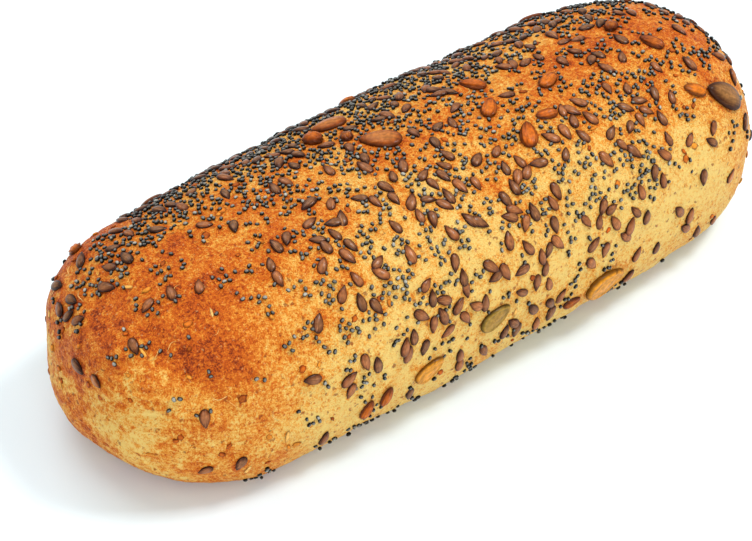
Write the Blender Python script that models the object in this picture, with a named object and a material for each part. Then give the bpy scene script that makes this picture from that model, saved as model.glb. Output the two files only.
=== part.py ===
"""Short wholemeal baguette with seeds baked into its crust, as one solid.

Metres, +Z up. The loaf lies along X on its flat base at z = 0, and the origin is under its middle.
The crust is a sphere whose points are laid on the form of the loaf. Pumpkin seeds, sunflower
kernels, wheat grains and the larger share of the flax seeds are joined to it by one Boolean union.
"""

import math
import random

import bmesh
import bpy
from mathutils import Matrix, Vector, noise

LENGTH = 0.220
WIDTH = 0.088
HEIGHT = 0.0593
# Moves the uneven form, so that the origin is under the middle of its box, seeds included
TO_MIDDLE = Vector((-0.0004, 0.0001, 0.0))

# Exponents of the end curves at -X and at +X: the higher, the blunter the end
END_BLUNTNESS = (3.15, 3.9)
# Exponents of the section above and below its widest line: 2 is an ellipse
DOME_FULLNESS = 2.25
BELLY_FULLNESS = 2.7
WIDEST_AT = 0.42
BELLY_DEPTH = 1.25
BELLY_HOLDS_TO_END = 1.15
BASE_EDGE_RADIUS = 0.003
# What would rise less than this from the base is flat too, so that the loaf rests on one true plane
FLAT_BELOW = 0.0003

# The loaf is a little wider and higher towards its ends than at its waist, and higher at +X
WAIST_SHARE = 0.3
WIDTH_FLARE = 0.02
HEIGHT_RISE = 0.04
HEIGHT_FLARE = 0.055

# Low swells of the crust: how deep each is, and how many there are to a metre
SWELLS = ((0.0008, 38.0), (0.0004, 95.0))
SWELL_SHIFT = Vector((3.1, 7.7, 1.9))

# The crease across the -X end, where the dough was rolled in
CREASE_AT = -0.099
CREASE_SWEEP = 0.012
CREASE_DEPTH = 0.0012
CREASE_HALF_WIDTH = 0.005

# Where the loaf is fuller or leaner than its plain form: a point in mm, how far it stands out, and
# how wide the swelling is. In turn: the back shoulder at -X, the top at +X, the back and the foot of
# the -X tip, the foot near -X, the long near side, and two dips along the ridge
FULLER_SPOTS = (
    ((-90, 29, 40), 2.4, 17),
    ((104, -5, 50), 1.5, 20),
    ((-108, 16, 36), -2.0, 15),
    ((-107, 6, 8), 1.8, 14),
    ((-78, -33, 4), 1.3, 14),
    ((20, -42, 12), -0.7, 40),
    ((48, 27, 52), -1.6, 20),
    ((-34, 27, 50), -1.3, 17),
)

CRUST_STATIONS = 42
CRUST_SIDES = 38
ARC_SAMPLES = 720

SEED_SIDES = 6
SEED_RINGS = 4
SEED_LIFT = 0.14
SEED_BLUNT_END = 0.35

# Length, width and thickness of each kind
PUMPKIN_SIZE = (0.0125, 0.0075, 0.0028)
KERNEL_SIZE = (0.0082, 0.0042, 0.0024)
GRAIN_SIZE = (0.0054, 0.0046, 0.0036)
FLAX_SIZE = (0.0052, 0.0026, 0.0014)

# Where the large seeds lie: mm along from the middle, degrees up from the -Y side, degrees turned
# from the loaf's length, and size against the kind's own
PUMPKIN_SEEDS = (
    (-8, 92, 141, 0.95),
    (-12, 115, 165, 0.85),
    (91, 40, 141, 1.1),
    (-6, 0, 20, 0.85),
    (35, -12, 5, 1.15),
    (-29, -6, 30, 0.8),
    (-60, 150, 40, 0.95),
    (22, 163, 110, 1.0),
    (74, 140, 15, 0.9),
)
SUNFLOWER_KERNELS = (
    (28, 97, 117, 1.0),
    (24, 85, 42, 1.0),
    (26, 67, 57, 1.1),
    (45, 84, 21, 1.0),
    (81, 50, 141, 0.9),
    (81, 79, 111, 0.95),
    (35, 71, 162, 0.8),
    (-43, -8, 69, 0.8),
    (-49, -11, 66, 0.8),
    (23, -13, 3, 0.75),
    (-88, 142, 70, 0.9),
    (-36, 168, 20, 1.0),
    (4, 137, 95, 0.9),
    (48, 172, 150, 1.0),
    (97, 118, 60, 0.85),
)
WHEAT_GRAINS = (
    (-21, 109, 120, 1.1),
    (-14, 101, 60, 0.8),
    (77, 93, 30, 0.85),
)

FLAX_COUNT = 124
FLAX_GAP = 0.0072
FLAX_DRAW = 11
# How flax thickens: from which share of the half length, over how much of it, and what lies before
FLAX_BEGINS = -0.62
FLAX_RISE = 0.2
FLAX_LEAST = 0.12
# The ridge that the seeds crowd along, a little past the top towards the back
RIDGE_DEG = 115.0
RIDGE_HALF_WIDTH_DEG = 22.0
RIDGE_FLAX = 0.75
SEED_TILT_DEG = 7.0
LOWEST_SEED = 0.009

CRUST_COLOUR = (0.70, 0.38, 0.12, 1.0)
CRUST_ROUGHNESS = 0.75


def clear_scene():
    """Start from an empty scene."""
    for obj in list(bpy.data.objects):
        bpy.data.objects.remove(obj, do_unlink=True)


def new_collection(name):
    """Return a new collection of the scene."""
    collection = bpy.data.collections.new(name)
    bpy.context.scene.collection.children.link(collection)
    return collection


def crust_material():
    """Return the baked crust's material."""
    material = bpy.data.materials.new("baked_crust")
    material.use_nodes = True
    shader = material.node_tree.nodes["Principled BSDF"]
    shader.inputs["Base Color"].default_value = CRUST_COLOUR
    shader.inputs["Roughness"].default_value = CRUST_ROUGHNESS
    shader.inputs["Metallic"].default_value = 0.0
    return material


def signed_power(value, power):
    """Raise the size of a value to a power and keep its sign."""
    return math.copysign(abs(value) ** power, value)


def end_share(along):
    """Return how full the section is at a share of the half length, from 1 to 0 at a tip."""
    blunt = END_BLUNTNESS[0] if along < 0 else END_BLUNTNESS[1]
    return max(0.0, 1.0 - abs(along) ** blunt) ** (1.0 / blunt)


def flattened(z):
    """Lay what would hang below the base flat on z = 0, with a rounded edge."""
    if z >= BASE_EDGE_RADIUS:
        return z
    edge = (max(z, -BASE_EDGE_RADIUS) + BASE_EDGE_RADIUS) ** 2 / (4 * BASE_EDGE_RADIUS)
    return edge if edge > FLAT_BELOW else 0.0


def relief(point, around):
    """Return how far the crust stands out at a point of the plain form."""
    out = 0.0
    for depth, per_metre in SWELLS:
        out += depth * noise.noise(point * per_metre + SWELL_SHIFT)
    for middle, height, reach in FULLER_SPOTS:
        away = (point * 1000 - Vector(middle)).length / reach
        out += height / 1000 * math.exp(-away * away)
    crease = CREASE_AT + CREASE_SWEEP * (1.0 - math.sin(around))
    across = (point.x - crease) / CREASE_HALF_WIDTH
    return out - CREASE_DEPTH * math.exp(-across * across) * max(0.0, math.sin(around + 0.3))


def crust_point(along, fullness, around):
    """Return a point of the crust.

    along is the share of the half length, fullness the section's share of its full size there, and
    around the angle from the -Y side over the top.
    """
    shape = along * along - WAIST_SHARE
    half_width = WIDTH / 2 * (1 + WIDTH_FLARE * shape) * fullness
    height = HEIGHT * (1 + HEIGHT_RISE * along + HEIGHT_FLARE * shape)
    widest = WIDEST_AT * height
    side, rise = math.cos(around), math.sin(around)
    if rise > 0:
        power, reach = 2 / DOME_FULLNESS, (height - widest) * fullness
    else:
        power = 2 / BELLY_FULLNESS
        reach = widest * BELLY_DEPTH * min(1.0, fullness * BELLY_HOLDS_TO_END)
    y = -half_width * signed_power(side, power)
    z = widest + reach * signed_power(rise, power)
    plain = Vector((along * LENGTH / 2, y, z))
    spine = (LENGTH - WIDTH) / 2
    outward = plain - Vector((max(-spine, min(spine, plain.x)), 0.0, widest))
    plain += outward.normalized() * relief(plain, around)
    plain.z = flattened(plain.z)
    return plain + TO_MIDDLE


def even_stations():
    """Return (arc share, along, fullness) from tip to tip, with the arc measured on the side line."""
    stations = []
    arc, last = 0.0, None
    for step in range(ARC_SAMPLES + 1):
        turn = math.pi * step / ARC_SAMPLES
        blunt = END_BLUNTNESS[0] if turn < math.pi / 2 else END_BLUNTNESS[1]
        along = -signed_power(math.cos(turn), 2 / blunt)
        fullness = abs(math.sin(turn)) ** (2 / blunt)
        here = Vector((along * LENGTH / 2, fullness * WIDTH / 2))
        if last is not None:
            arc += (here - last).length
        stations.append((arc, along, fullness))
        last = here
    return [(length / arc, along, fullness) for length, along, fullness in stations]


def station_at(stations, share):
    """Return (along, fullness) at a share of the arc from the -X tip to the +X tip."""
    low, high = 0, len(stations) - 1
    while high - low > 1:
        middle = (low + high) // 2
        if stations[middle][0] <= share:
            low = middle
        else:
            high = middle
    start, end = stations[low], stations[high]
    mix = (share - start[0]) / (end[0] - start[0])
    mix = max(0.0, min(1.0, mix))
    return start[1] + (end[1] - start[1]) * mix, start[2] + (end[2] - start[2]) * mix


def make_crust(collection, stations, material):
    """Return the crust: a sphere laid on the form of the loaf, its poles at the loaf's tips."""
    mesh = bpy.data.meshes.new("wholemeal_baguette")
    shell = bmesh.new()
    bmesh.ops.create_uvsphere(
        shell, u_segments=CRUST_SIDES, v_segments=CRUST_STATIONS, radius=1.0
    )
    for vertex in shell.verts:
        share = math.acos(max(-1.0, min(1.0, -vertex.co.z))) / math.pi
        around = math.atan2(vertex.co.y, vertex.co.x)
        vertex.co = crust_point(*station_at(stations, share), around)
    # The sphere's axes land on the loaf's as in a mirror, which turns its faces inwards
    bmesh.ops.reverse_faces(shell, faces=shell.faces)
    shell.to_mesh(mesh)
    shell.free()
    mesh.materials.append(material)
    mesh.shade_smooth()
    crust = bpy.data.objects.new(mesh.name, mesh)
    collection.objects.link(crust)
    return crust


def spot_on_crust(along, around, turn):
    """Return the matrix of a seed on the crust: X along the seed, Z out of the crust."""
    step = 0.01
    fullness = end_share(along)
    middle = crust_point(along, fullness, around)
    ahead = crust_point(along + step, end_share(along + step), around)
    behind = crust_point(along - step, end_share(along - step), around)
    over = crust_point(along, fullness, around + step)
    under = crust_point(along, fullness, around - step)
    outward = (ahead - behind).cross(over - under).normalized()
    length_way = (ahead - behind) - outward * (ahead - behind).dot(outward)
    length_way.normalize()
    seed_way = Matrix.Rotation(turn, 3, outward) @ length_way
    axes = Matrix((seed_way, outward.cross(seed_way), outward)).transposed()
    return Matrix.Translation(middle) @ axes.to_4x4()


def make_seed(name, collection, size, place, scale, tilt):
    """Add one seed: a flattened egg, blunt at one end, sunk in the crust."""
    length, width, thickness = (extent * scale for extent in size)
    seed = bmesh.new()
    upright = Matrix.Rotation(math.pi / 2, 4, "Y")
    bmesh.ops.create_uvsphere(
        seed, u_segments=SEED_SIDES, v_segments=SEED_RINGS, radius=0.5, matrix=upright
    )
    for vertex in seed.verts:
        taper = 1.0 - SEED_BLUNT_END * vertex.co.x
        vertex.co = Vector(
            (vertex.co.x * length, vertex.co.y * width * taper, vertex.co.z * thickness)
        )
    lift = Matrix.Translation((0.0, 0.0, SEED_LIFT * thickness))
    bmesh.ops.transform(
        seed, matrix=place @ lift @ Matrix.Rotation(tilt, 4, "Y"), verts=seed.verts
    )
    bmesh.ops.recalc_face_normals(seed, faces=seed.faces)
    mesh = bpy.data.meshes.new(name)
    seed.to_mesh(mesh)
    seed.free()
    collection.objects.link(bpy.data.objects.new(name, mesh))


def add_large_seeds(collection):
    """Add the pumpkin seeds, sunflower kernels and wheat grains, and return where they lie."""
    taken = []
    for kind, size, places in (
        ("pumpkin", PUMPKIN_SIZE, PUMPKIN_SEEDS),
        ("kernel", KERNEL_SIZE, SUNFLOWER_KERNELS),
        ("grain", GRAIN_SIZE, WHEAT_GRAINS),
    ):
        for number, (along_mm, around_deg, turn_deg, scale) in enumerate(places):
            along = along_mm / 1000 / (LENGTH / 2)
            place = spot_on_crust(along, math.radians(around_deg), math.radians(turn_deg))
            make_seed(f"{kind}_{number}", collection, size, place, scale, 0.0)
            taken.append((place.translation, size[0] * scale / 2))
    return taken


def flax_density(along, around):
    """Return how likely flax is at a spot: most over the +X three quarters and along the ridge."""
    begins = min(1.0, max(0.0, (along - FLAX_BEGINS) / FLAX_RISE))
    ridge = (around - math.radians(RIDGE_DEG)) / math.radians(RIDGE_HALF_WIDTH_DEG)
    return max(FLAX_LEAST + (1 - FLAX_LEAST) * begins, RIDGE_FLAX * math.exp(-ridge * ridge))


def add_flax(collection, stations, taken):
    """Add flax seeds by darts thrown evenly over the crust, kept clear of each other."""
    draw = random.Random(FLAX_DRAW)
    placed = []
    while len(placed) < FLAX_COUNT:
        along, fullness = station_at(stations, draw.uniform(0.02, 0.98))
        around = draw.uniform(math.radians(-20), math.radians(200))
        turn = draw.triangular(0, math.pi, math.pi / 2) + draw.choice((0.0, math.pi))
        scale = draw.uniform(0.88, 1.12)
        tilt = math.radians(draw.uniform(-SEED_TILT_DEG, SEED_TILT_DEG))
        if draw.random() > fullness * flax_density(along, around):
            continue
        place = spot_on_crust(along, around, turn)
        middle = place.translation
        if middle.z < LOWEST_SEED:
            continue
        if any((middle - other).length < FLAX_GAP for other in placed):
            continue
        if any((middle - other).length < reach + FLAX_GAP / 2 for other, reach in taken):
            continue
        make_seed(f"flax_{len(placed)}", collection, FLAX_SIZE, place, scale, tilt)
        placed.append(middle)


def join_seeds(crust, seeds):
    """Join the seeds to the crust and remove their own objects."""
    union = crust.modifiers.new("seeds", "BOOLEAN")
    union.operation = "UNION"
    union.operand_type = "COLLECTION"
    union.collection = seeds
    union.solver = "EXACT"
    with bpy.context.temp_override(object=crust, active_object=crust):
        bpy.ops.object.modifier_apply(modifier=union.name)
    for seed in list(seeds.objects):
        bpy.data.meshes.remove(seed.data)
    bpy.data.collections.remove(seeds)


def main():
    """Build the loaf."""
    clear_scene()
    loaf = new_collection("wholemeal_baguette_parts")
    seeds = new_collection("seeds_to_join")
    stations = even_stations()
    crust = make_crust(loaf, stations, crust_material())
    taken = add_large_seeds(seeds)
    add_flax(seeds, stations, taken)
    join_seeds(crust, seeds)


main()
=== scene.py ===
"""A short wholemeal baguette with seeds baked into its crust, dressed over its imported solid.

Metres, +Z up, in the frame of the solid: the loaf lies along X on its base at z = 0. The crust is
one fine mesh on the loaf's form, browned unevenly, and the seeds lie in it at true size. The larger
seeds and the first of the flax lie where the solid has them.
"""

import logging
import math
import random
from dataclasses import dataclass
from enum import Enum
from functools import cached_property

import bmesh
import bpy
import numpy as np
from mathutils import Matrix, Vector, kdtree, noise


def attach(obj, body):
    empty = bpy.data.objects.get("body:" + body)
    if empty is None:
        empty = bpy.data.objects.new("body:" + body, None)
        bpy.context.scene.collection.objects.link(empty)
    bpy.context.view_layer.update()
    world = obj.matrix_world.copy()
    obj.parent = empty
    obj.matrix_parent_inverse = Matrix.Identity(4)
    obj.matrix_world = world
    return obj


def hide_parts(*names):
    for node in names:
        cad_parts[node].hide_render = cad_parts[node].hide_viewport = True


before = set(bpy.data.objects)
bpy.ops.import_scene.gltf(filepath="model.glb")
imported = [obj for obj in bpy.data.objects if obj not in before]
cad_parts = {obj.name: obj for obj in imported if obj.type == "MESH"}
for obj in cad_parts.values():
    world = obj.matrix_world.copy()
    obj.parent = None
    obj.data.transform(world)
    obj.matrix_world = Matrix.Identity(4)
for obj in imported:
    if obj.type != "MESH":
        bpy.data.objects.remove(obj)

LOG = logging.getLogger("wholemeal_baguette")
NODE = "wholemeal_baguette"
BODY = "root"
MM = 0.001

Colour = tuple[float, float, float, float]
Stops = tuple[tuple[float, Colour], ...]
Span = tuple[float, float]
Rows = tuple[tuple[float, ...], ...]
Place = tuple[float, float, float]
Spots = tuple[tuple[Place, float, float], ...]


def baked(red: int, green: int, blue: int) -> Colour:
    """Return a colour given as it looks on a screen, 0 to 255, in the shader's linear values."""
    shares = (value / 255 for value in (red, green, blue))
    linear = (s / 12.92 if s <= 0.04045 else ((s + 0.055) / 1.055) ** 2.4 for s in shares)
    return (*linear, 1.0)


def toned(*stops: tuple[float, int, int, int]) -> Stops:
    """Return stops of colour, each given by its position and its colour on a screen."""
    return tuple((position, baked(*colour)) for position, *colour in stops)


def rise(value: float, start: float, end: float) -> float:
    """Return a smooth step from 0 at start to 1 at end."""
    share = max(0.0, min(1.0, (value - start) / (end - start)))
    return share * share * (3 - 2 * share)


def bell(value: float, middle: float, reach: float) -> float:
    """Return 1 at the middle, falling smoothly to either side."""
    away = (value - middle) / reach
    return math.exp(-away * away)


def signed_power(value: float, power: float) -> float:
    """Raise the size of a value to a power and keep its sign."""
    return math.copysign(abs(value) ** power, value)


def shown(name: str, data: bpy.types.ID) -> bpy.types.Object:
    """Put a mesh, lamp or camera in the scene and return its object."""
    piece = bpy.data.objects.new(name, data)
    bpy.context.scene.collection.objects.link(piece)
    return piece


def dressed(
    mesh: bpy.types.Mesh, values: dict[str, object], material: bpy.types.Material
) -> bpy.types.Object:
    """Make a piece of the loaf from its mesh.

    Args:
        mesh: the mesh, with the piece's name.
        values: what the material reads at the mesh's points, by name.
        material: the piece's material.

    Returns:
        The piece, which rides on the loaf's body.
    """
    for name, numbers in values.items():
        mesh.attributes.new(name, "FLOAT", "POINT").data.foreach_set("value", numbers)
    mesh.shade_smooth()
    mesh.materials.append(material)
    piece = shown(mesh.name, mesh)
    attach(piece, BODY)
    return piece


def drawn(draw: random.Random, span_deg: Span) -> float:
    """Return an angle in radians, drawn from a span in degrees."""
    return draw.uniform(math.radians(span_deg[0]), math.radians(span_deg[1]))


@dataclass(frozen=True)
class LoafForm:
    """The plain form of the loaf, with the solid's own sizes."""

    length: float = 0.220
    width: float = 0.088
    height: float = 0.0593
    to_middle: Place = (-0.0004, 0.0001, 0.0)
    end_bluntness: Span = (3.15, 3.9)
    dome_fullness: float = 2.25
    belly_fullness: float = 2.7
    widest_at: float = 0.42
    belly_depth: float = 1.25
    belly_holds_to_end: float = 1.15
    base_edge_radius: float = 0.003
    flat_below: float = 0.0003
    waist_share: float = 0.3
    width_flare: float = 0.02
    height_rise: float = 0.04
    height_flare: float = 0.055
    swells: Rows = ((0.0008, 38.0), (0.0004, 95.0))
    swell_shift: Place = (3.1, 7.7, 1.9)
    crease_at: float = -0.099
    crease_sweep: float = 0.012
    crease_depth: float = 0.0012
    crease_half_width: float = 0.005
    crease_turn: float = 0.3
    # A point in mm, how far the loaf stands out there in mm, and how far that reaches in mm
    fuller_spots: Spots = (
        ((-90, 29, 40), 2.4, 17),
        ((104, -5, 50), 1.5, 20),
        ((-108, 16, 36), -2.0, 15),
        ((-107, 6, 8), 1.8, 14),
        ((-78, -33, 4), 1.3, 14),
        ((20, -42, 12), -0.7, 40),
        ((48, 27, 52), -1.6, 20),
        ((-34, 27, 50), -1.3, 17),
    )
    arc_samples: int = 720

    def end_share(self, along: float) -> float:
        """Return how full the section is at a share of the half length, 1 down to 0 at a tip."""
        blunt = self.end_bluntness[0] if along < 0 else self.end_bluntness[1]
        return max(0.0, 1.0 - abs(along) ** blunt) ** (1.0 / blunt)

    def flattened(self, z: float) -> float:
        """Lay what would hang below the base flat on z = 0, with a rounded edge."""
        if z >= self.base_edge_radius:
            return z
        edge = (max(z, -self.base_edge_radius) + self.base_edge_radius) ** 2
        edge /= 4 * self.base_edge_radius
        return edge if edge > self.flat_below else 0.0

    def crease(self, point: Vector, around: float) -> float:
        """Return how near a point is to the crease across the -X end, from 0 to 1."""
        line = self.crease_at + self.crease_sweep * (1.0 - math.sin(around))
        near = bell(point.x, line, self.crease_half_width)
        return near * max(0.0, math.sin(around + self.crease_turn))

    def swelling(self, point: Vector, around: float) -> float:
        """Return how far the loaf stands out at a point of its plain form."""
        out = 0.0
        for depth, per_metre in self.swells:
            out += depth * noise.noise(point * per_metre + Vector(self.swell_shift))
        for middle, height, reach in self.fuller_spots:
            out += height * MM * bell((point / MM - Vector(middle)).length, 0.0, reach)
        return out - self.crease_depth * self.crease(point, around)

    def point(self, along: float, fullness: float, around: float) -> Vector:
        """Return a point of the form.

        Args:
            along: share of the half length, from -1 to 1.
            fullness: the section's share of its full size there.
            around: angle from the -Y side over the top, in radians.

        Returns:
            The point, in metres.
        """
        shape = along * along - self.waist_share
        half_width = self.width / 2 * (1 + self.width_flare * shape) * fullness
        height = self.height * (1 + self.height_rise * along + self.height_flare * shape)
        widest = self.widest_at * height
        side, up = math.cos(around), math.sin(around)
        if up > 0:
            power, reach = 2 / self.dome_fullness, (height - widest) * fullness
        else:
            power = 2 / self.belly_fullness
            reach = widest * self.belly_depth * min(1.0, fullness * self.belly_holds_to_end)
        y = -half_width * signed_power(side, power)
        plain = Vector((along * self.length / 2, y, widest + reach * signed_power(up, power)))
        spine = (self.length - self.width) / 2
        outward = plain - Vector((max(-spine, min(spine, plain.x)), 0.0, widest))
        plain += outward.normalized() * self.swelling(plain, around)
        plain.z = self.flattened(plain.z)
        return plain + Vector(self.to_middle)

    @cached_property
    def stations(self) -> list[tuple[float, float, float]]:
        """Arc share, along and fullness from tip to tip, with the arc taken on the side line."""
        stations = []
        arc, last = 0.0, None
        for step in range(self.arc_samples + 1):
            turn = math.pi * step / self.arc_samples
            blunt = self.end_bluntness[0] if turn < math.pi / 2 else self.end_bluntness[1]
            along = -signed_power(math.cos(turn), 2 / blunt)
            fullness = abs(math.sin(turn)) ** (2 / blunt)
            here = Vector((along * self.length / 2, fullness * self.width / 2))
            if last is not None:
                arc += (here - last).length
            stations.append((arc, along, fullness))
            last = here
        return [(length / arc, along, fullness) for length, along, fullness in stations]

    def station(self, share: float) -> tuple[float, float]:
        """Return (along, fullness) at a share of the arc from the -X tip to the +X tip."""
        low, high = 0, len(self.stations) - 1
        while high - low > 1:
            middle = (low + high) // 2
            if self.stations[middle][0] <= share:
                low = middle
            else:
                high = middle
        start, end = self.stations[low], self.stations[high]
        mix = max(0.0, min(1.0, (share - start[0]) / (end[0] - start[0])))
        return start[1] + (end[1] - start[1]) * mix, start[2] + (end[2] - start[2]) * mix

    def seat(self, along: float, around: float, turn: float) -> Matrix:
        """Return where a seed lies: X along the seed, Z out of the crust.

        Args:
            along: share of the half length, from -1 to 1.
            around: angle from the -Y side over the top, in radians.
            turn: angle of the seed from the loaf's length, in radians.

        Returns:
            The seed's matrix.
        """
        step = 0.01
        fullness = self.end_share(along)
        middle = self.point(along, fullness, around)
        ahead = self.point(along + step, self.end_share(along + step), around)
        behind = self.point(along - step, self.end_share(along - step), around)
        over = self.point(along, fullness, around + step)
        under = self.point(along, fullness, around - step)
        outward = (ahead - behind).cross(over - under).normalized()
        length_way = (ahead - behind) - outward * (ahead - behind).dot(outward)
        length_way.normalize()
        seed_way = Matrix.Rotation(turn, 3, outward) @ length_way
        axes = Matrix((seed_way, outward.cross(seed_way), outward)).transposed()
        return Matrix.Translation(middle) @ axes.to_4x4()


@dataclass(frozen=True)
class CrustRelief:
    """The fine relief that the crust has over the loaf's form."""

    grains: Rows = ((0.00026, 170.0), (0.00015, 400.0), (0.00010, 820.0))
    dimple_spacing: float = 0.0085
    dimple_share: float = 0.35
    dimple_depth: float = 0.00055
    dimple_radius: float = 0.0011
    blister_spacing: float = 0.0034
    blister_share: float = 0.45
    blister_height: float = 0.00022
    blister_radius: float = 0.0010
    wrinkle_middle: Place = (-0.103, -0.014, 0.026)
    wrinkle_reach: float = 0.017
    wrinkle_pitch: float = 0.0021
    wrinkle_height: float = 0.00030
    wrinkle_wander: float = 5.0
    wander_per_metre: float = 110.0
    spot_draw: float = 31.7

    def spots(self, point: Vector, spacing: float, share: float, radius: float) -> float:
        """Return 0 to 1 where one of many scattered round spots lies."""
        gaps, middles = noise.voronoi(point / spacing)
        if (noise.cell(middles[0] * self.spot_draw) + 1) / 2 > share:
            return 0.0
        return bell(gaps[0] * spacing, 0.0, radius)

    def dimple(self, point: Vector) -> float:
        """Return 0 to 1 where a small pit lies."""
        return self.spots(point, self.dimple_spacing, self.dimple_share, self.dimple_radius)

    def height(self, point: Vector) -> float:
        """Return how far the crust stands off the form at a point, in metres."""
        out = sum(depth * noise.noise(point * per_metre) for depth, per_metre in self.grains)
        out -= self.dimple_depth * self.dimple(point)
        out += self.blister_height * self.spots(
            point, self.blister_spacing, self.blister_share, self.blister_radius
        )
        near = bell((point - Vector(self.wrinkle_middle)).length, 0.0, self.wrinkle_reach)
        phase = math.tau * point.z / self.wrinkle_pitch
        phase += self.wrinkle_wander * noise.noise(point * self.wander_per_metre)
        return out + self.wrinkle_height * near * math.sin(phase)


@dataclass(frozen=True)
class Browning:
    """How dark the oven has baked the crust, from 0 for straw to 1 for a deep red brown, with a
    painted sheen paling the far ridge.
    """

    straw: float = 0.07
    darkest: float = 0.78
    shoulder: float = 0.09
    shoulder_deg: float = 58
    shoulder_reach_deg: float = 28
    ridge: float = 0.33
    ridge_near_deg: Span = (52, 98)
    ridge_far_deg: Span = (146, 186)
    left_end: float = 0.32
    left_end_mm: Span = (-88, -44)
    left_end_on_top: float = 0.4
    top_deg: Span = (60, 100)
    paler_tip: float = 0.26
    paler_tip_mm: Span = (-109, -95)
    underside: float = 0.24
    underside_near_deg: Span = (-62, -38)
    underside_far_deg: Span = (200, 225)
    tip: float = 0.04
    tip_mm: Span = (-104, -86)
    # How much darker or paler, and how many to a metre
    tip_speckle: Rows = ((0.14, 190.0), (0.36, 430.0))
    blotches: Rows = ((0.16, 45.0), (0.14, 130.0))
    blotch_shift: Place = (5.0, 1.0, 9.0)
    # mm along, degrees around, how much darker, reach in mm, reach in degrees
    patches: Rows = (
        (-90, 44, 0.26, 8, 24),
        (25, 22, -0.06, 40, 22),
        (-70, -6, -0.16, 26, 16),
        (62, 84, 0.24, 26, 15),
        (70, 50, 0.26, 16, 16),
        (-78, 30, 0.18, 10, 40),
        (-94, 20, -0.26, 6, 13),
        (90, 12, 0.14, 13, 24),
        # Painted sheen: paler along the far ridge, where light grazes the crust
        (4, 116, -0.30, 66, 15),
        (28, 88, 0.12, 14, 12),
        (-6, 68, -0.12, 14, 12),
        (94, 62, 0.20, 14, 48),
        (5, 56, 0.24, 6, 5),
        (-52, 66, 0.12, 18, 26),
        (-30, 104, 0.10, 30, 14),
        (-8, 84, 0.18, 9, 6),
    )
    # The same on the end caps: a point in mm, how much darker, reach in mm
    end_patches: Spots = (
        ((-104, -18, 20), -0.22, 14),
        ((-96, -30, 34), 0.10, 7),
        ((-104, -4, 46), 0.04, 9),
    )

    def at(self, point: Vector, around: float) -> float:
        """Return how brown the crust is at a point.

        Args:
            point: the point, in metres.
            around: angle from the -Y side over the top, in radians.

        Returns:
            The browning, from 0 to 1.
        """
        x_mm = point.x / MM
        degrees = (math.degrees(around) + 90.0) % 360.0 - 90.0
        brown = self.straw
        brown += self.shoulder * bell(degrees, self.shoulder_deg, self.shoulder_reach_deg)
        ridge = rise(degrees, *self.ridge_near_deg) * (1 - rise(degrees, *self.ridge_far_deg))
        brown += self.ridge * ridge
        paler = self.paler_tip * (1 - rise(x_mm, *self.paler_tip_mm))
        left_end = self.left_end * (1 - rise(x_mm, *self.left_end_mm)) * (1 - paler)
        brown += left_end * (1 - self.left_end_on_top * rise(degrees, *self.top_deg))
        below = rise(degrees, *self.underside_far_deg) + 1 - rise(degrees, *self.underside_near_deg)
        brown += self.underside * below
        for middle, angle, darker, reach, spread in self.patches:
            brown += darker * bell(x_mm, middle, reach) * bell(degrees, angle, spread)
        for middle, darker, reach in self.end_patches:
            brown += darker * bell((point / MM - Vector(middle)).length, 0.0, reach)
        for depth, per_metre in self.blotches:
            brown += depth * noise.noise(point * per_metre + Vector(self.blotch_shift))
        tip = 1 - rise(x_mm, *self.tip_mm)
        brown += self.tip * tip
        for depth, per_metre in self.tip_speckle:
            brown += tip * depth * noise.noise(point * per_metre)
        return max(0.0, min(self.darkest, brown))


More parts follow.
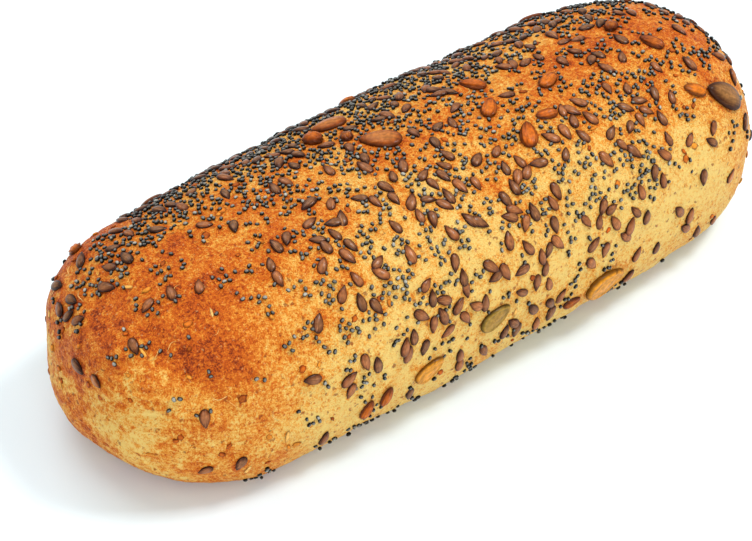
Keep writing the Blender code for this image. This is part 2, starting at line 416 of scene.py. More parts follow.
class NodeBoard:
    """A material's nodes, added and linked in few words."""

    def __init__(self, name: str) -> None:
        """Start a material of that name with its shader alone."""
        self.material = bpy.data.materials.new(name)
        self.material.use_nodes = True
        self.tree = self.material.node_tree
        self.shader = self.tree.nodes["Principled BSDF"]

    def put(self, socket: bpy.types.NodeSocket, value: object) -> None:
        """Link a socket to an output, or set it to a plain value."""
        if isinstance(value, bpy.types.NodeSocket):
            self.tree.links.new(value, socket)
        else:
            socket.default_value = value

    def add(self, kind: str, settings: dict | None = None, **inputs: object) -> bpy.types.Node:
        """Add a node.

        Args:
            kind: the node's type.
            settings: its properties.
            inputs: its sockets, by name with underscores for spaces.

        Returns:
            The node.
        """
        node = self.tree.nodes.new(kind)
        for name, value in (settings or {}).items():
            setattr(node, name, value)
        for name, value in inputs.items():
            self.put(node.inputs[name.replace("_", " ")], value)
        return node

    def points(self) -> bpy.types.NodeSocket:
        """Return the piece's own coordinates."""
        return self.add("ShaderNodeTexCoord").outputs["Object"]

    def attribute(self, name: str) -> bpy.types.NodeSocket:
        """Return a value that the mesh holds at its points."""
        return self.add("ShaderNodeAttribute", {"attribute_name": name}).outputs["Fac"]

    def noise(
        self, points: bpy.types.NodeSocket, scale: float, detail: float = 2.0, rough: float = 0.5
    ) -> bpy.types.NodeSocket:
        """Return a noise from 0 to 1."""
        made = self.add(
            "ShaderNodeTexNoise", Vector=points, Scale=scale, Detail=detail, Roughness=rough
        )
        return made.outputs["Fac"]

    def math(self, operation: str, *values: object, clamp: bool = False) -> bpy.types.NodeSocket:
        """Return the outcome of a sum on sockets or numbers."""
        node = self.tree.nodes.new("ShaderNodeMath")
        node.operation = operation
        node.use_clamp = clamp
        for socket, value in zip(node.inputs, values):
            self.put(socket, value)
        return node.outputs[0]

    def span(
        self, value: bpy.types.NodeSocket, low: float, high: float, start: float = 0.0,
        end: float = 1.0,
    ) -> bpy.types.NodeSocket:
        """Return a value taken from one range to another, smoothly and held at its ends."""
        made = self.add("ShaderNodeMapRange", {"interpolation_type": "SMOOTHSTEP"}, Value=value)
        for name, number in (
            ("From Min", low), ("From Max", high), ("To Min", start), ("To Max", end)
        ):
            made.inputs[name].default_value = number
        return made.outputs["Result"]

    def ramp(self, value: bpy.types.NodeSocket, stops: Stops) -> bpy.types.NodeSocket:
        """Return the colour that a value has on a row of stops."""
        made = self.add("ShaderNodeValToRGB", Fac=value)
        row = made.color_ramp.elements
        while len(row) < len(stops):
            row.new(1.0)
        for element, (position, colour) in zip(row, stops):
            element.position = position
            element.color = colour
        return made.outputs["Color"]

    def mix(self, share: object, first: object, second: object) -> bpy.types.NodeSocket:
        """Return two colours mixed by a share."""
        node = self.tree.nodes.new("ShaderNodeMix")
        node.data_type = "RGBA"
        # The places of the share and the two colours among the node's sockets
        for index, value in ((0, share), (6, first), (7, second)):
            self.put(node.inputs[index], value)
        return node.outputs[2]

    def bump(
        self, height: bpy.types.NodeSocket, depth: float, under: bpy.types.NodeSocket | None = None
    ) -> bpy.types.NodeSocket:
        """Return a bent normal for a height from 0 to 1 that is that many metres deep."""
        made = self.add("ShaderNodeBump", Height=height, Distance=depth, Strength=1.0)
        if under is not None:
            self.put(made.inputs["Normal"], under)
        return made.outputs["Normal"]

    def finish(self, **sockets: object) -> bpy.types.Material:
        """Set the shader's sockets, named as for add, and return the material."""
        for name, value in sockets.items():
            self.put(self.shader.inputs[name.replace("_", " ")], value)
        return self.material


@dataclass(frozen=True)
class CrustFinish:
    """Baked wholemeal crust: straw to red brown, speckled with bran."""

    # Straw, gold, amber, russet and umber
    stops: Stops = toned(
        (0.0, 247, 207, 116), (0.26, 240, 168, 66), (0.50, 222, 118, 20), (0.74, 198, 84, 6),
        (1.0, 120, 40, 4),
    )
    # For the mottle, the grain and the fine grain: scale, detail, roughness and share
    noises: Rows = ((210.0, 6.0, 0.62, 0.8), (1000.0, 4.0, 0.7, 1.5), (2600.0, 3.0, 0.6, 1.2))
    # For bran, singed specks and flour, the pale flour flecks being partly painted glints: how many
    # to a metre, radius against the gap between them, share of empty places, strength and colour
    fleck_kinds: tuple[tuple[float, float, float, float, Colour], ...] = (
        (430.0, 0.24, 0.66, 0.7, baked(140, 52, 12)),
        (760.0, 0.26, 0.60, 0.6, baked(186, 76, 14)),
        # Flour flecks, partly painted glints
        (900.0, 0.24, 0.68, 0.34, baked(246, 204, 132)),
    )
    # How much the painted shade round each seed browns the crust
    painted_seed_shade: float = 0.17
    roughness: Span = (0.42, 0.72)
    specular: float = 0.2
    mottle_depth: float = 0.0006
    grain_depth: float = 0.0015
    grain_share: float = 0.6
    fine_share: float = 0.4
    grain_span: Span = (0.3, 0.7)
    # How much finer than the flecks the noise is that frays them, how far it shifts their
    # edges, and where an edge begins and ends against a fleck's radius
    fray_scale: float = 2.2
    fray_shift: float = 0.9
    fleck_edge: Span = (0.6, 1.3)

    def material(self) -> bpy.types.Material:
        """Return the crust's material."""
        board = NodeBoard("baked_crust")
        points = board.points()
        mottle, grain, fine = (board.noise(points, *numbers) for *numbers, _ in self.noises)
        # brown also holds painted shade in the dimples and along the crease, and a painted sheen
        # along the far ridge
        brown = board.attribute("brown")
        for source, (*_, share) in zip((mottle, grain, fine), self.noises):
            brown = board.math("MULTIPLY_ADD", board.math("SUBTRACT", source, 0.5), share, brown)
        # Painted shade: the crust darkens in a ring round each seed
        painted_seed_shade = board.attribute("painted_seed_shade")
        brown = board.math("MULTIPLY_ADD", painted_seed_shade, self.painted_seed_shade, brown, clamp=True)
        colour = board.ramp(brown, self.stops)
        for scale, size, rare, strength, tint in self.fleck_kinds:
            mask = self.flecks(board, points, scale, size, rare)
            colour = board.mix(board.math("MULTIPLY", mask, strength), colour, tint)
        height = board.math("MULTIPLY", fine, self.fine_share)
        height = board.math("MULTIPLY_ADD", grain, self.grain_share, height)
        normal = board.bump(height, self.grain_depth, board.bump(mottle, self.mottle_depth))
        return board.finish(
            Base_Color=colour,
            Roughness=board.span(grain, *self.grain_span, *self.roughness),
            Normal=normal,
            Specular_IOR_Level=self.specular,
        )

    def flecks(
        self, board: NodeBoard, points: bpy.types.NodeSocket, scale: float, size: float, rare: float
    ) -> bpy.types.NodeSocket:
        """Return a mask of scattered ragged flecks.

        Args:
            board: the material's nodes.
            points: the piece's coordinates.
            scale: how many flecks could lie in a metre.
            size: the fleck's radius against the gap between flecks.
            rare: the share of the places that stay empty.

        Returns:
            A mask from 0 to 1.
        """
        ragged = board.add(
            "ShaderNodeTexNoise", Vector=points, Scale=scale * self.fray_scale, Detail=2.0
        ).outputs["Color"]
        bent = board.add("ShaderNodeVectorMath", {"operation": "MULTIPLY_ADD"})
        board.put(bent.inputs[0], ragged)
        board.put(bent.inputs[1], (self.fray_shift / scale,) * 3)
        board.put(bent.inputs[2], points)
        cells = board.add("ShaderNodeTexVoronoi", Vector=bent.outputs["Vector"], Scale=scale)
        edge = (size * share for share in self.fleck_edge)
        inside = board.span(cells.outputs["Distance"], *edge, 1.0, 0.0)
        draw = board.add("ShaderNodeSeparateColor", Color=cells.outputs["Color"]).outputs["Red"]
        return board.math("MULTIPLY", inside, board.math("GREATER_THAN", draw, rare))


@dataclass(frozen=True)
class SeedFinish:
    """A seed's skin: a row of colours that its own shade picks from, with painted shade darkening
    it low down where it meets the crust and a painted highlight paling its crown.
    """

    name: str
    stops: Stops
    # How dark the painted shade makes a seed low down, and how pale the painted highlight makes its
    # crown
    painted_foot_shade: float
    crown: float
    streak: float
    roughness: float
    coat: float
    pores: float
    pore_depth: float
    groove: float
    # pale serves the light streaks and the painted highlight; dark serves the grooves and the
    # painted shade
    pale: Colour = baked(226, 140, 52)
    dark: Colour = baked(40, 14, 4)
    light_lines: Span = (0.5, 0.75)
    dark_lines: Span = (0.32, 0.47)
    # Where on a seed's height, 0 at the crust and 1 at its top, the painted highlight and the
    # painted shade fall
    painted_highlight_span: Span = (0.5, 1.0)
    painted_shade_span: Span = (0.1, 0.9)
    # Scale, detail and roughness
    line_noise: Place = (3.0, 3.0, 0.6)
    cloud_noise: Place = (900.0, 3.0, 0.5)
    cloud_span: Span = (0.3, 0.7)
    cloud_depth: float = 0.25
    coat_roughness: float = 0.16
    specular: float = 0.1
    # How far the lines' noise runs over a seed's width, its length and from seed to seed
    line_runs: Place = (2.2, 0.35, 40.0)

    def material(self) -> bpy.types.Material:
        """Return the seed's material."""
        board = NodeBoard(self.name)
        points = board.points()
        colour = board.ramp(board.attribute("shade"), self.stops)
        lines = board.noise(self.along_seed(board), *self.line_noise)
        light = board.math("MULTIPLY", board.span(lines, *self.light_lines), self.streak)
        colour = board.mix(light, colour, self.pale)
        groove = board.span(lines, *self.dark_lines, self.groove, 0.0)
        colour = board.mix(groove, colour, self.dark)
        # Painted light: a highlight pales each seed's crown and shade darkens it down towards the
        # crust
        up = board.attribute("up")
        colour = board.mix(board.span(up, *self.painted_highlight_span, 0.0, self.crown), colour, self.pale)
        colour = board.mix(board.span(up, *self.painted_shade_span, self.painted_foot_shade, 0.0), colour, self.dark)
        cloud = board.noise(points, *self.cloud_noise)
        cloud = board.span(cloud, *self.cloud_span, -self.cloud_depth, self.cloud_depth)
        value = board.math("ADD", cloud, 1.0)
        clouded = board.add("ShaderNodeHueSaturation", Color=colour, Value=value)
        cells = board.add(
            "ShaderNodeTexVoronoi", {"feature": "SMOOTH_F1"}, Vector=points, Scale=self.pores
        )
        return board.finish(
            Base_Color=clouded.outputs["Color"],
            Roughness=self.roughness,
            Coat_Weight=self.coat,
            Coat_Roughness=self.coat_roughness,
            Specular_IOR_Level=self.specular,
            Normal=board.bump(cells.outputs["Distance"], self.pore_depth),
        )

    def along_seed(self, board: NodeBoard) -> bpy.types.NodeSocket:
        """Return coordinates that run long along a seed, so that a noise on them streaks."""
        joined = board.add("ShaderNodeCombineXYZ")
        names = ("across", "lengthwise", "shade")
        for socket, name, run in zip(joined.inputs, names, self.line_runs):
            board.put(socket, board.math("MULTIPLY", board.attribute(name), run))
        return joined.outputs[0]


class Skin(Enum):
    """The finishes of the seeds."""

    # Each finish paints shade low on its seeds and a highlight on their crowns
    POPPY = SeedFinish(
        "poppy_skin",
        toned((0.0, 12, 9, 7), (0.45, 28, 25, 22), (0.78, 60, 59, 54), (1.0, 152, 150, 138)),
        painted_foot_shade=0.96, crown=0.26, streak=0.25, roughness=0.26, coat=0.10, pores=4200.0,
        pore_depth=0.00006, groove=0.4, pale=baked(196, 194, 184), dark=baked(6, 4, 2),
    )
    FLAX = SeedFinish(
        "flax_skin",
        toned((0.0, 50, 19, 6), (0.45, 96, 43, 15), (0.8, 134, 68, 28), (1.0, 178, 104, 52)),
        painted_foot_shade=0.96, crown=0.20, streak=0.42, roughness=0.30, coat=0.16, pores=2600.0,
        pore_depth=0.00003, groove=0.65, pale=baked(214, 152, 100), dark=baked(30, 9, 3),
    )
    PUMPKIN = SeedFinish(
        "pumpkin_skin",
        toned((0.0, 74, 38, 14), (0.25, 150, 70, 10), (0.5, 142, 74, 14), (0.75, 136, 110, 30),
              (1.0, 216, 140, 22)),
        painted_foot_shade=0.80, crown=0.34, streak=0.3, roughness=0.40, coat=0.08, pores=1500.0,
        pore_depth=0.00006, groove=0.55, pale=baked(204, 144, 78),
    )
    KERNEL = SeedFinish(
        "kernel_skin",
        toned((0.0, 96, 36, 4), (0.4, 184, 84, 6), (0.75, 214, 118, 16), (1.0, 236, 192, 104)),
        painted_foot_shade=0.82, crown=0.2, streak=0.35, roughness=0.40, coat=0.08, pores=1500.0,
        pore_depth=0.00006, groove=0.65,
    )
    FLAKE = SeedFinish(
        "flake_skin",
        toned((0.0, 112, 40, 4), (0.4, 180, 78, 8), (0.7, 228, 152, 50), (1.0, 246, 216, 138)),
        painted_foot_shade=0.55, crown=0.15, streak=0.30, roughness=0.50, coat=0.0, pores=1500.0,
        pore_depth=0.00010, groove=0.3,
    )


@dataclass
class Seed:
    """One seed as it lies: the matrix that takes its unit shape there, and its shade.

    out is the way out of the crust, where that isn't the seed's own Z.
    """

    place: Matrix
    shade: float
    shape: int = 0
    out: Vector | None = None

    @property
    def middle(self) -> Vector:
        """The seed's middle."""
        return self.place.translation


class SeedShapes:
    """The unit shapes of the seeds, each within 1 of its middle, X along the seed, Z up."""

    # A dent, ridge, rim or furrow has its height, its middle where that isn't 0, and its reach.
    # A lump or wrinkle has its height and its noise's scale, and a sway its size and its waves
    poppy_dent: Span = (0.4, 0.55)
    poppy_bend: float = 0.12
    poppy_height: float = 0.9
    flax_width: float = 1.10
    flax_point_from: float = -0.3
    flax_point_power: float = 1.6
    flax_blunt_power: float = 2.8
    flax_thick_at_point: float = 0.4
    pumpkin_edge_power: float = 3.0
    pumpkin_ridge: Place = (0.10, 0.05, 0.25)
    pumpkin_rim: Place = (0.5, 0.86, 0.09)
    pumpkin_hollow: float = 0.45
    pumpkin_narrow: Span = (0.24, 0.10)
    pumpkin_longer: float = 0.06
    kernel_rib: float = 0.11
    kernel_rib_sway: Span = (0.6, 3)
    kernel_lump: Span = (0.06, 2.1)
    grain_furrow: Place = (0.22, 0.1, 0.16)
    grain_wrinkles: Rows = ((0.16, 2.6), (0.07, 6.0))
    flake_lump: Span = (0.55, 1.3)
    flake_shift: Span = (3.7, 1.3)
    fibre_thickness: float = 0.045
    fibre_sway: Span = (0.1, 3.0)
    fibre_bow_middle: float = 0.4
    fibre_rise: float = 0.18

    @staticmethod
    def ball(sides: int, rings: int, lying: bool) -> bmesh.types.BMesh:
        """Return a unit sphere of triangles, its poles on Z, or on X where it is lying."""
        shape = bmesh.new()
        turn = Matrix.Rotation(math.pi / 2, 4, "Y") if lying else Matrix.Identity(4)
        bmesh.ops.create_uvsphere(
            shape, u_segments=sides, v_segments=rings, radius=1.0, matrix=turn
        )
        bmesh.ops.triangulate(shape, faces=shape.faces)
        return shape

    @staticmethod
    def kept(name: str, shape: bmesh.types.BMesh) -> bpy.types.Mesh:
        """Return a shape as a mesh, its faces outwards."""
        bmesh.ops.recalc_face_normals(shape, faces=shape.faces)
        mesh = bpy.data.meshes.new(name)
        shape.to_mesh(mesh)
        shape.free()
        return mesh

    @classmethod
    def poppy(cls) -> bpy.types.Mesh:
        """Return a poppy seed: a small kidney."""
        shape = cls.ball(8, 6, False)
        for vertex in shape.verts:
            x, y, z = vertex.co
            depth, reach = cls.poppy_dent
            dent = depth * bell(x, 0.0, reach) if y < 0 else 0.0
            aside = cls.poppy_bend * x * x
            vertex.co = Vector((x, y * (1 - dent) + aside, z * cls.poppy_height))
        return cls.kept("poppy", shape)

    @classmethod
    def flax(cls, bend: float, narrow: float) -> bpy.types.Mesh:
        """Return a flax seed: a flat drop, pointed at +X.

        Args:
            bend: how far its point leans aside.
            narrow: how much narrower it is towards the point.

        Returns:
            The mesh.
        """
        shape = cls.ball(14, 10, True)
        for vertex in shape.verts:
            x, y, z = vertex.co
            ahead = max(0.0, x - cls.flax_point_from)
            taper = cls.flax_width - narrow * ahead ** cls.flax_point_power
            if -0.999 < x < 0:
                taper *= math.sqrt((1 - abs(x) ** cls.flax_blunt_power) / (1 - x * x))
            aside = bend * (ahead * ahead - 0.3)
            thick = cls.flax_thick_at_point + (1 - cls.flax_thick_at_point) * taper
            vertex.co = Vector((x, y * taper + aside, z * thick))
        return cls.kept("flax", shape)

    @classmethod
    def pumpkin(cls, rim: float) -> bpy.types.Mesh:
        """Return a pumpkin seed: a flat egg, narrow at +X.

        Args:
            rim: how high the raised rim along its edge is, 0 for a plump seed without one.

        Returns:
            The mesh.
        """
        shape = cls.ball(32, 22, False)
        for vertex in shape.verts:
            x, y, z = vertex.co
            out = math.hypot(x, y)
            crown = (1.0 - min(1.0, out) ** cls.pumpkin_edge_power) ** 0.5
            height, middle, reach = cls.pumpkin_ridge
            ridge = height * bell(y, middle, reach) * (1 - out)
            height, middle, reach = cls.pumpkin_rim
            swell = crown * (1 - cls.pumpkin_hollow * rim) + ridge
            swell += rim * height * bell(out, middle, reach)
            evenly, ahead = cls.pumpkin_narrow
            narrow = 1.0 - evenly * x - ahead * max(0.0, x) ** 3
            up = math.copysign(swell, z) if abs(z) > 1e-4 else 0.0
            vertex.co = Vector((x * (1 + cls.pumpkin_longer * x), y * narrow, up))
        return cls.kept("pumpkin", shape)

    @classmethod
    def kernel(cls, ribs: int, blunt: float) -> bpy.types.Mesh:
        """Return a sunflower kernel: a plump drop with ribs along it, pointed at +X.

        Args:
            ribs: the number of ribs round it.
            blunt: how much wider it is at its blunt end.

        Returns:
            The mesh.
        """
        shape = cls.ball(36, 18, True)
        for vertex in shape.verts:
            x, y, z = vertex.co
            angle = math.atan2(z, y)
            taper = 1.0 - blunt * x
            sway, waves = cls.kernel_rib_sway
            taper *= 1.0 + cls.kernel_rib * math.cos(ribs * angle + sway * math.sin(waves * x))
            lump, scale = cls.kernel_lump
            taper *= 1.0 + lump * noise.noise(vertex.co * scale)
            vertex.co = Vector((x, y * taper, z * taper))
        return cls.kept("kernel", shape)

    @classmethod
    def grain(cls) -> bpy.types.Mesh:
        """Return a wheat grain: a wrinkled ball with a furrow."""
        shape = cls.ball(24, 16, True)
        for vertex in shape.verts:
            x, y, z = vertex.co
            depth, middle, reach = cls.grain_furrow
            furrow = depth * bell(y, middle, reach) if z > 0 else 0.0
            wrinkle = sum(
                height * noise.noise(vertex.co * scale) for height, scale in cls.grain_wrinkles
            )
            vertex.co = vertex.co * (1.0 + wrinkle - furrow * (1 - x * x))
        return cls.kept("grain", shape)

    @classmethod
    def flake(cls, draw: int) -> bpy.types.Mesh:
        """Return a broken flake of grain: a rough flat chip, another for each draw."""
        shape = bmesh.new()
        bmesh.ops.create_icosphere(shape, subdivisions=2, radius=1.0)
        for vertex in shape.verts:
            shift = Vector((draw * cls.flake_shift[0], draw * cls.flake_shift[1], 0.0))
            lump, scale = cls.flake_lump
            swell = 1.0 + lump * noise.noise(vertex.co * scale + shift)
            vertex.co = Vector((vertex.co.x * swell, vertex.co.y * swell, vertex.co.z))
        return cls.kept("flake", shape)

    @classmethod
    def fibre(cls, bow: float) -> bpy.types.Mesh:
        """Return a bran fibre: a thin hair that bows aside and rises in its middle."""
        shape = cls.ball(5, 10, True)
        for vertex in shape.verts:
            x, y, z = vertex.co
            sway, waves = cls.fibre_sway
            aside = bow * (x * x - cls.fibre_bow_middle) + sway * math.sin(waves * x)
            up = z * cls.fibre_thickness + cls.fibre_rise * (1 - x * x)
            vertex.co = Vector((x, y * cls.fibre_thickness + aside, up))
        return cls.kept("fibre", shape)


@dataclass
class JoinedSeeds:
    """Many small things of one kind, joined into one piece."""

    name: str
    shapes: list[bpy.types.Mesh]
    skin: Skin
    slot: str

    def __post_init__(self) -> None:
        """Take the unit shapes' points and faces, which all have the same faces."""
        self.points = [self.points_of(shape) for shape in self.shapes]
        faces = np.empty(len(self.shapes[0].polygons) * 3, np.int64)
        self.shapes[0].polygons.foreach_get("vertices", faces)
        self.faces = faces.reshape(-1, 3)

    @staticmethod
    def points_of(shape: bpy.types.Mesh) -> np.ndarray:
        """Return a shape's points, one row each."""
        points = np.empty(len(shape.vertices) * 3)
        shape.vertices.foreach_get("co", points)
        return points.reshape(-1, 3)

    def join(self, seeds: list[Seed]) -> bpy.types.Object:
        """Lay the shapes where the seeds are, as one object.

        Args:
            seeds: where each lies, how dark it is and which shape it has.

        Returns:
            The piece, which rides on the loaf's body.
        """
        chosen = [self.points[seed.shape % len(self.points)] for seed in seeds]
        rows, ups = [], []
        for points, seed in zip(chosen, seeds):
            matrix = np.array(seed.place)
            laid = points @ matrix[:3, :3].T
            # How high each point stands out of the crust, 0 to 1, where the skin paints shade low
            # down and a highlight on top
            out = np.array(seed.out or seed.place.to_3x3().col[2])
            height = laid @ out
            rows.append(laid + matrix[:3, 3])
            ups.append(height / height.max())
        size = len(self.points[0])
        starts = np.arange(len(seeds))[:, None, None] * size
        mesh = bpy.data.meshes.new(self.name)
        mesh.from_pydata(
            np.concatenate(rows), [], (self.faces[None] + starts).reshape(-1, 3).tolist()
        )
        values = {
            "shade": np.repeat([seed.shade for seed in seeds], size),
            "up": np.concatenate(ups),
            "lengthwise": np.concatenate([points[:, 0] for points in chosen]),
            "across": np.concatenate([points[:, 1] for points in chosen]),
        }
        return dressed(mesh, values, self.skin.value.material())


@dataclass(frozen=True)
class Kind:
    """A kind of seed: its length, width and thickness, and how high it sits in the crust."""

    size: Place
    lift: float = 0.2

    def lay(self, seat: Matrix, scale: float, tilt: float = 0.0) -> Matrix:
        """Return the matrix of one seed of this kind.

        Args:
            seat: where it lies on the crust.
            scale: its size against the kind's own.
            tilt: how far its point dips, in radians.

        Returns:
            The matrix that takes the unit shape there.
        """
        length, width, thickness = (extent * scale for extent in self.size)
        up = Matrix.Translation((0.0, 0.0, self.lift * thickness))
        half = Matrix.Diagonal((length / 2, width / 2, thickness / 2, 1.0))
        return seat @ up @ Matrix.Rotation(tilt, 4, "Y") @ half


PUMPKIN = Kind((0.0125, 0.0075, 0.0028))
KERNEL = Kind((0.0082, 0.0042, 0.0024))
GRAIN = Kind((0.0054, 0.0046, 0.0036))
FLAX = Kind((0.0052, 0.0026, 0.0014))
POPPY = Kind((0.00138, 0.00120, 0.00112), 0.26)

DARK, TOASTED, CHESTNUT, OLIVE, GOLDEN = 0.0, 0.25, 0.5, 0.75, 1.0
PLUMP, RIMMED = 0, 1
# mm along from the middle, degrees up from the -Y side, degrees turned from length, size share,
# shade and shape
PUMPKIN_SEEDS = (
    (-8, 92, 141, 0.95, TOASTED, PLUMP),
    (-12, 115, 165, 0.85, TOASTED, PLUMP),
    (91, 40, 141, 1.1, DARK, PLUMP),
    (-6, 0, 20, 0.85, OLIVE, RIMMED),
    (35, -12, 5, 1.15, GOLDEN, RIMMED),
    (-29, -6, 30, 0.8, GOLDEN, RIMMED),
    (-60, 150, 40, 0.95, CHESTNUT, PLUMP),
    (22, 163, 110, 1.0, OLIVE, RIMMED),
    (74, 140, 15, 0.9, TOASTED, PLUMP),
)
# The same, with how a kernel has baked from 0 for red brown to 1 for cream, and its shape
SUNFLOWER_KERNELS = (
    (28, 97, 117, 1.0, 0.35, 0),
    (24, 85, 42, 1.0, 0.45, 1),
    (26, 67, 57, 1.1, 0.40, 1),
    (45, 84, 21, 1.0, 0.50, 0),
    (81, 50, 141, 0.9, 0.60, 0),
    (81, 79, 111, 0.95, 0.20, 0),
    (35, 71, 162, 0.8, 0.35, 0),
    (-43, -8, 69, 0.8, 0.30, 1),
    (-49, -11, 66, 0.8, 0.35, 1),
    (23, -13, 3, 0.75, 0.15, 0),
    (-88, 142, 70, 0.9, 0.50, 1),
    (-36, 168, 20, 1.0, 0.40, 0),
    (4, 137, 95, 0.9, 0.60, 1),
    (48, 172, 150, 1.0, 0.30, 0),
    (97, 118, 60, 0.85, 0.45, 1),
)
WHEAT_GRAINS = (
    (-21, 109, 120, 1.1, 0.25, 0),
    (-14, 101, 60, 0.8, 0.05, 0),
    (77, 93, 30, 0.85, 0.10, 0),
)


@dataclass
class SeedBed:
    """Where every seed lies on the crust."""

    form: LoafForm
    relief: CrustRelief
    large_gap: float = 0.0072
    shared_flax: int = 124
    shared_draw: int = 11
    all_flax: int = 480
    close_draw: int = 29
    close_gap: float = 0.0027
    lowest_shared: float = 0.009
    lowest: float = 0.0035
    flax_share_of_arc: Span = (0.02, 0.98)
    flax_deg: Span = (-20, 200)
    flax_scale: Span = (0.88, 1.12)
    flax_begins: float = -0.62
    flax_rise: float = 0.2
    flax_least: float = 0.12
    # mm along, degrees around, how much likelier, reach in mm, reach in degrees
    flax_gatherings: Rows = (
        (-89, 12, 2.5, 4, 6),
        (-93, 66, 1.6, 4, 6),
        (-86, 80, 1.2, 5, 6),
        (-87, -18, 2.5, 5, 4),
        (30, 50, 0.8, 22, 20),
        (66, 112, 1.3, 30, 14),
    )
    # How much less flax there is, and from where to where in mm along and in degrees around
    bare_left: tuple[float, Span, Span] = (0.75, (-80, -52), (88, 104))
    bare_right: tuple[float, Span, Span] = (0.85, (36, 66), (8, 30))
    ridge_deg: float = 115.0
    ridge_half_width_deg: float = 22.0
    ridge_flax: float = 0.75
    seed_tilt_deg: float = 7.0
    # How dark flax is, how much darker on top, from where to where in degrees, and how it varies
    flax_shade: float = 0.54
    darker_on_top: float = 0.3
    shade_deg: Span = (55, 105)
    shade_spread: float = 0.36
    shade_cell: Span = (3, 7)
    poppies: int = 3200
    poppy_draw: int = 5
    poppy_gap: float = 0.00112
    poppy_share_of_arc: Span = (0.03, 0.985)
    tip_share: float = 0.02
    poppy_deg: Span = (-35, 215)
    lowest_poppy: float = 0.0012
    off_seeds: float = 1.15
    # The ridge's middle in degrees and how it shifts with each mm, and its reach in degrees
    crest_deg: float = 116
    crest_shift: float = 0.03
    crest_reach: Span = (9.5, 11)
    crest_widens_mm: Span = (-90, -40)
    crest_begins_mm: Span = (-108, -88)
    crest_share: Span = (0.82, 0.45)
    crest_thins_mm: Span = (5, 60)
    side_share: Span = (0.013, 0.099)
    side_begins_mm: Span = (-80, -50)
    # As for bare_left, of poppy. The last one holds all along the loaf
    bare_sides: tuple[tuple[float, Span, Span], ...] = (
        (0.75, (68, 94), (40, 80)),
        (0.8, (32, 56), (8, 30)),
        (0.75, (-1000, -999), (-5, 52)),
    )
    back_less: float = 0.5
    back_deg: Span = (150, 175)
    bare_tip_mm: Span = (-112, -98)
    crease_share: float = 0.16
    crease_mm: Span = (-93, 6)
    crease_deg: Span = (66, 22)
    thick_above: float = 0.35
    thick_clumps: tuple[int, ...] = (1, 2, 3, 5)
    loose_clumps: tuple[int, ...] = (1, 1, 2, 2, 3, 4, 6, 9, 12)
    # A clump's spread in mm, and how much more for each of its seeds
    clump_spread: Span = (0.8, 0.09)
    ridge_above: float = 0.15
    lean: Span = (-0.9, 0.9)
    sunk_mm: Span = (-0.25, 0.25)
    poppy_scale: Span = (0.92, 1.15)
    # The middle of poppy's shades and how far they scatter
    poppy_shade: Span = (0.42, 0.32)

    def __post_init__(self) -> None:
        """Lay the large seeds, then the flax, then the poppy."""
        self.pumpkin = self.placed(PUMPKIN, PUMPKIN_SEEDS)
        self.kernels = self.placed(KERNEL, SUNFLOWER_KERNELS)
        self.grains = self.placed(GRAIN, WHEAT_GRAINS)
        self.flax: list[Seed] = []
        shared, close = random.Random(self.shared_draw), random.Random(self.close_draw)
        self.throw_flax(shared, self.shared_flax, self.large_gap, self.lowest_shared)
        self.throw_flax(close, self.all_flax, self.close_gap, self.lowest, True)
        self.large = self.pumpkin + self.kernels + self.grains + self.flax
        self.inward = [seed.place.inverted() for seed in self.large]
        self.finder = kdtree.KDTree(len(self.large))
        for number, seed in enumerate(self.large):
            self.finder.insert(seed.middle, number)
        self.finder.balance()
        self.poppy = self.throw_poppy(random.Random(self.poppy_draw))

    def seat(self, along: float, around: float, turn: float) -> Matrix:
        """Return a seat on the crust, its fine relief counted in."""
        seat = self.form.seat(along, around, turn)
        return seat @ Matrix.Translation((0.0, 0.0, self.relief.height(seat.translation)))

    def placed(self, kind: Kind, places: Rows) -> list[Seed]:
        """Return the seeds of a kind that have their places set."""
        seeds = []
        for along_mm, around_deg, turn_deg, scale, shade, shape in places:
            seat = self.form.seat(
                along_mm * MM / (self.form.length / 2), math.radians(around_deg),
                math.radians(turn_deg),
            )
            seeds.append(Seed(kind.lay(seat, scale), shade, shape))
        return seeds

    def flax_share(self, along: float, around: float) -> float:
        """Return how likely flax is at a spot: most over the +X three quarters and the ridge."""
        begins = min(1.0, max(0.0, (along - self.flax_begins) / self.flax_rise))
        ridge = (around - math.radians(self.ridge_deg)) / math.radians(self.ridge_half_width_deg)
        share = self.flax_least + (1 - self.flax_least) * begins
        return max(share, self.ridge_flax * math.exp(-ridge * ridge))

    def clustered(self, likely: float, along: float, around: float) -> float:
        """Return how likely flax is at a spot, with its gatherings and bare places counted in."""
        x_mm, degrees = along * self.form.length / 2 / MM, math.degrees(around)
        less, left_mm, low_deg = self.bare_left
        likely *= 1 - less * (1 - rise(x_mm, *left_mm)) * (1 - rise(degrees, *low_deg))
        for middle, angle, more, reach, spread in self.flax_gatherings:
            likely += more * bell(x_mm, middle, reach) * bell(degrees, angle, spread)
        less, right_mm, low_deg = self.bare_right
        return likely * (1 - less * rise(x_mm, *right_mm) * (1 - rise(degrees, *low_deg)))

